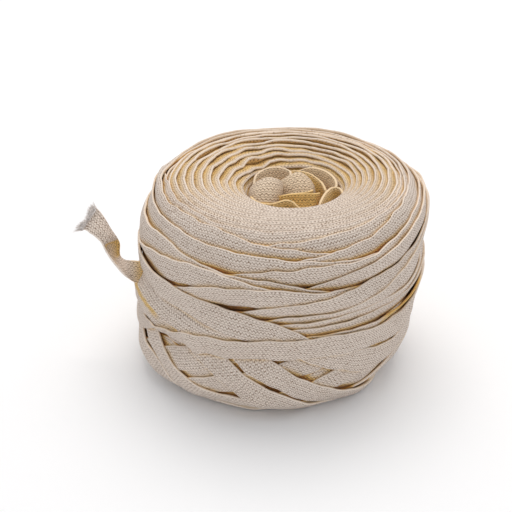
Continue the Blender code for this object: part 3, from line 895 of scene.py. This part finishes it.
def cotton(name, face, deep):
    """Undyed cotton twill, worked out from the tape's own places: u along and v across in millimetres.
    Its ribs are sines of v plus a zigzag of u, so they run as a herringbone, and the product of two
    cosines adds the crossings of its threads. Both fade out at the selvedges. Sparse specks are darker,
    and there are more of them in one open patch. The painted shade attribute turns the face to its
    golden shade colour, then brown, painting the shade of gaps and creases into the colour."""
    material = bpy.data.materials.new(name)
    material.use_nodes = True
    tree = material.node_tree
    nodes, links = tree.nodes, tree.links
    shader = nodes["Principled BSDF"]

    def feed(node, values):
        """Sets a node's inputs in order: a number on the socket itself, and anything else by a link."""
        for slot, value in zip(node.inputs, values):
            if isinstance(value, (int, float)):
                slot.default_value = value
            else:
                links.new(value, slot)

    def math_node(operation, *values):
        node = nodes.new("ShaderNodeMath")
        node.operation = operation
        feed(node, values)
        return node.outputs[0]

    def mapped(value, low, high, to_low, to_high):
        node = nodes.new("ShaderNodeMapRange")
        feed(node, (value, low, high, to_low, to_high))
        return node.outputs[0]

    def noise(scale, detail):
        node = nodes.new("ShaderNodeTexNoise")
        node.inputs["Scale"].default_value = scale
        node.inputs["Detail"].default_value = detail
        links.new(place, node.inputs["Vector"])
        return node.outputs["Fac"]

    def blend(share, first, second):
        """A mix of two colours, each of them a tuple or another node's output."""
        node = nodes.new("ShaderNodeMix")
        node.data_type = "RGBA"
        links.new(share, node.inputs[0])
        for slot, colour in zip(node.inputs[6:8], (first, second)):
            if isinstance(colour, tuple):
                slot.default_value = (*colour, 1.0)
            else:
                links.new(colour, slot)
        return node.outputs[2]

    place = nodes.new("ShaderNodeTexCoord").outputs["Object"]
    tape = nodes.new("ShaderNodeUVMap")
    tape.uv_map = "tape"
    split = nodes.new("ShaderNodeSeparateXYZ")
    links.new(tape.outputs["UV"], split.inputs[0])
    along, across = split.outputs[0], split.outputs[1]
    shake = math_node("SUBTRACT", noise(700.0, 2.0), 0.5)
    u = math_node("MULTIPLY_ADD", shake, SHAKE_ALONG, along)
    v = math_node("MULTIPLY_ADD", shake, SHAKE_ACROSS, across)
    phase = math_node("MULTIPLY_ADD", math_node("PINGPONG", u, ZIGZAG_HALF), ZIGZAG_SLOPE, v)
    ribs = math_node("SINE", math_node("MULTIPLY", phase, 2 * math.pi / RIB_PITCH))
    crossing = math_node(
        "MULTIPLY",
        math_node("COSINE", math_node("MULTIPLY", u, 2 * math.pi / CROSSINGS_ALONG)),
        math_node("COSINE", math_node("MULTIPLY", v, 2 * math.pi / CROSSINGS_ACROSS)),
    )
    weave = math_node("MULTIPLY_ADD", crossing, 0.65, math_node("MULTIPLY", ribs, 0.75))
    inset = math_node("MINIMUM", across, math_node("SUBTRACT", TAPE_WIDTH, across))
    inner = math_node("MULTIPLY_ADD", inset, 2.2, -0.45)
    inner = math_node("MINIMUM", math_node("MAXIMUM", inner, 0.0), 1.0)
    weave = math_node("ADD", math_node("MULTIPLY", math_node("SUBTRACT", weave, 0.6), inner), 0.6)
    height = math_node("MULTIPLY_ADD", noise(2600.0, 2.0), 0.7, weave)

    grooves = mapped(noise(900.0, 1.0), 0.32, 0.68, 0.48, 0.0)
    shade = mapped(weave, -1.05, 0.5, grooves, 1.0)
    patch = nodes.new("ShaderNodeVectorMath")
    patch.operation = "DISTANCE"
    links.new(place, patch.inputs[0])
    patch.inputs[1].default_value = skin(*PATCH, 0.0) * MM
    greyed = mapped(patch.outputs["Value"], 0.004, 0.010, 1.0, 0.0)
    bits = math_node("MULTIPLY_ADD", greyed, 0.10, noise(1200.0, 1.0))
    bits = math_node("MULTIPLY_ADD", weave, -0.05, bits)
    specks = mapped(bits, 0.60, 0.69, 1.0, 0.5)
    broad = math_node("MULTIPLY_ADD", noise(60.0, 3.0), 0.14, 0.88)
    value = math_node("MULTIPLY", math_node("MULTIPLY", shade, specks), broad)
    # Painted shade: the "hollow" attribute turns the face golden, then warm brown, for shade in gaps.
    depth = nodes.new("ShaderNodeAttribute")
    depth.attribute_name = "hollow"
    tone = blend(depth.outputs["Fac"], face, deep)
    warm = blend(mapped(depth.outputs["Fac"], 1.0, DEEPEST, 0.0, 1.0), tone, SLIT_SHADE_BROWN)
    links.new(blend(value, GROOVE_BROWN, warm), shader.inputs["Base Color"])

    relief = nodes.new("ShaderNodeBump")
    relief.inputs["Strength"].default_value = 0.55
    relief.inputs["Distance"].default_value = 0.00022
    links.new(height, relief.inputs["Height"])
    links.new(relief.outputs[0], shader.inputs["Normal"])
    shader.inputs["Roughness"].default_value = 0.95
    shader.inputs["Specular IOR Level"].default_value = 0.15
    shader.inputs["Sheen Weight"].default_value = 0.12
    shader.inputs["Sheen Roughness"].default_value = 0.5
    return material


def plain(name, colour):
    """A plain matt surface for the floor."""
    material = bpy.data.materials.new(name)
    material.use_nodes = True
    shader = material.node_tree.nodes["Principled BSDF"]
    shader.inputs["Base Color"].default_value = (*colour, 1.0)
    shader.inputs["Roughness"].default_value = 0.9
    return material


# The photo's view: 30 degrees above the level, 0.58 m from the middle of the roll, and the roll set a
# little off the picture's middle.
VIEW_ANGLE = 30.0
VIEW_DISTANCE = 0.58
VIEW_HEIGHT = 0.047
FRAME_SIDE = 512
PIXELS_PER_TANGENT = 1213.7
ROLL_PIXEL = (279.3, 263.5)
SENSOR = 36.0

# The studio: the floor's side and colour, the sky's colour and strength, and the light overhead.
FLOOR_SIDE = 8.0
FLOOR_COLOUR = (0.97, 0.98, 1.0)
SKY_COLOUR = (0.96, 0.98, 1.0, 1.0)
SKY_STRENGTH = 0.70
LIGHT_PLACE = (0.05, 0.42, 1.25)
LIGHT_SIDE = 1.0
LIGHT_POWER = 8.8
LIGHT_COLOUR = (1.0, 0.93, 0.86)


def place_camera():
    """The camera, with its focal length and shifts worked out from the roll's place in the frame."""
    data = bpy.data.cameras.new("camera")
    data.sensor_width = SENSOR
    data.lens = SENSOR * PIXELS_PER_TANGENT / FRAME_SIDE
    data.shift_x = (FRAME_SIDE / 2 - ROLL_PIXEL[0]) / FRAME_SIDE
    data.shift_y = (ROLL_PIXEL[1] - FRAME_SIDE / 2) / FRAME_SIDE
    camera = bpy.data.objects.new("camera", data)
    angle = math.radians(VIEW_ANGLE)
    camera.location = (
        0.0,
        -VIEW_DISTANCE * math.cos(angle),
        VIEW_HEIGHT + VIEW_DISTANCE * math.sin(angle),
    )
    camera.rotation_euler = (math.pi / 2 - angle, 0.0, 0.0)
    bpy.context.scene.collection.objects.link(camera)
    bpy.context.scene.camera = camera


def area_light(name, place, target, size, power, colour):
    """A square soft light at a place, turned to face a target."""
    data = bpy.data.lights.new(name, "AREA")
    data.size = size
    data.energy = power
    data.color = colour
    light = bpy.data.objects.new(name, data)
    light.location = place
    away = np.array(place) - np.array(target)
    flat = math.hypot(away[0], away[1])
    light.rotation_euler = (math.atan2(flat, away[2]), 0.0, math.atan2(away[0], -away[1]))
    bpy.context.scene.collection.objects.link(light)


def place_studio():
    """A wide pale floor, a bright even sky and one large soft light overhead."""
    scene = bpy.context.scene
    scene.view_settings.view_transform = "Standard"
    bpy.ops.mesh.primitive_plane_add(size=FLOOR_SIDE)
    floor = bpy.context.object
    floor.name = "floor"
    floor.data.materials.append(plain("floor_paper", FLOOR_COLOUR))
    world = bpy.data.worlds.new("sky")
    world.use_nodes = True
    background = world.node_tree.nodes["Background"]
    background.inputs["Color"].default_value = SKY_COLOUR
    background.inputs["Strength"].default_value = SKY_STRENGTH
    scene.world = world
    area_light("overhead", LIGHT_PLACE, (0, 0, 0.05), LIGHT_SIDE, LIGHT_POWER, LIGHT_COLOUR)


def main():
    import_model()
    place_camera()
    place_studio()
    tape = cotton("cotton_twill", CREAM, SHADE_GOLDEN)
    threads = cotton("frayed_cotton", THREAD_CREAM, THREAD_SHADE_GOLDEN)
    laid = lay_turns()
    body = [
        *[turns_piece(*group, laid, tape) for group in GROUPS],
        crown_piece("crown_leaves", tape),
        core_piece("wound_mass", laid, tape),
        folds_piece("hollow_folds", tape),
    ]
    for piece in body:
        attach(piece, "root")
        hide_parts("roll_body")
    end = loose_end_piece("loose_tape", tape)
    frayed = frayed_piece("frayed_threads", threads)
    for piece in (end, frayed):
        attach(piece, "root")
        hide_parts("loose_end")


main()
